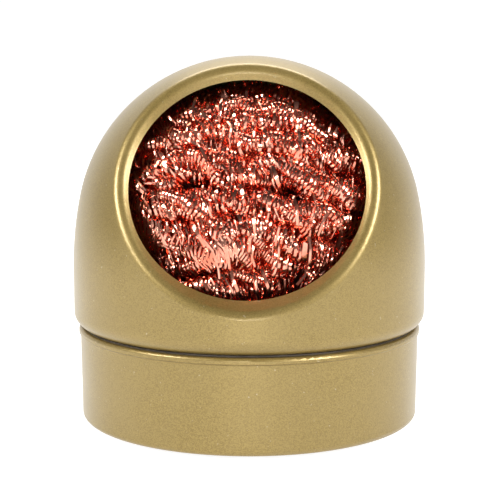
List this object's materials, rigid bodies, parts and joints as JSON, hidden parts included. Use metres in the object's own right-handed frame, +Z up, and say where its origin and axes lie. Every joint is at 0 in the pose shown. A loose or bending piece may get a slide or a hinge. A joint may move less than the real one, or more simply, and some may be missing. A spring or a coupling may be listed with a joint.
{
  "type": "soldering tip cleaner",
  "caption": "Round metal cup under a domed, lift-off cover whose tilted round mouth shows a ball of curled metal ribbon for wiping a soldering tip.",
  "frame": {"origin": "middle of the foot pad's underside, on the surface that the object stands on", "axes": "+Z up; -Y to the front, where the mouth faces; the YZ plane is the plane of symmetry"},
  "size_m": [0.07, 0.07, 0.072],
  "materials": {
    "cup_paint": "satin champagne gold paint with fine metal flake",
    "cover_paint": "satin champagne gold paint with fine metal flake",
    "ballast_steel": "turned, zinc grey",
    "screw_steel": "dark oiled steel",
    "sleeve_steel": "bright rolled steel",
    "glue_film": "dull film",
    "pad_rubber": "matt black",
    "copper_ribbon": "bright copper-toned metal ribbon, curled"
  },
  "bodies": {
    "base": {"base_cup": "cup_paint", "ballast_disc": "ballast_steel", "ballast_screw": "screw_steel", "pad_glue": "glue_film", "foot_pad": "pad_rubber"},
    "sleeve": {"neck_sleeve": "sleeve_steel"},
    "cover": {"dome_cover": "cover_paint"},
    "ball": {"ribbon_ball": "copper_ribbon"}
  },
  "joints": [
    {"name": "cover_turn", "type": "hinge", "parent": "base", "child": "sleeve", "pos_m": [0, 0, 0.0189], "axis": [0, 0, 1], "continuous": true},
    {"name": "cover_lift", "type": "slide", "parent": "sleeve", "child": "cover", "axis": [0, 0, 1], "range_m": [0, 0.064]},
    {"name": "ball_lift", "type": "slide", "parent": "base", "child": "ball", "axis": [0, 0, 1], "range_m": [0, 0.016]}
  ],
  "couplings": [
    {"joint": "ball_lift", "follows": "cover_lift", "ratio": 0.25}
  ]
}
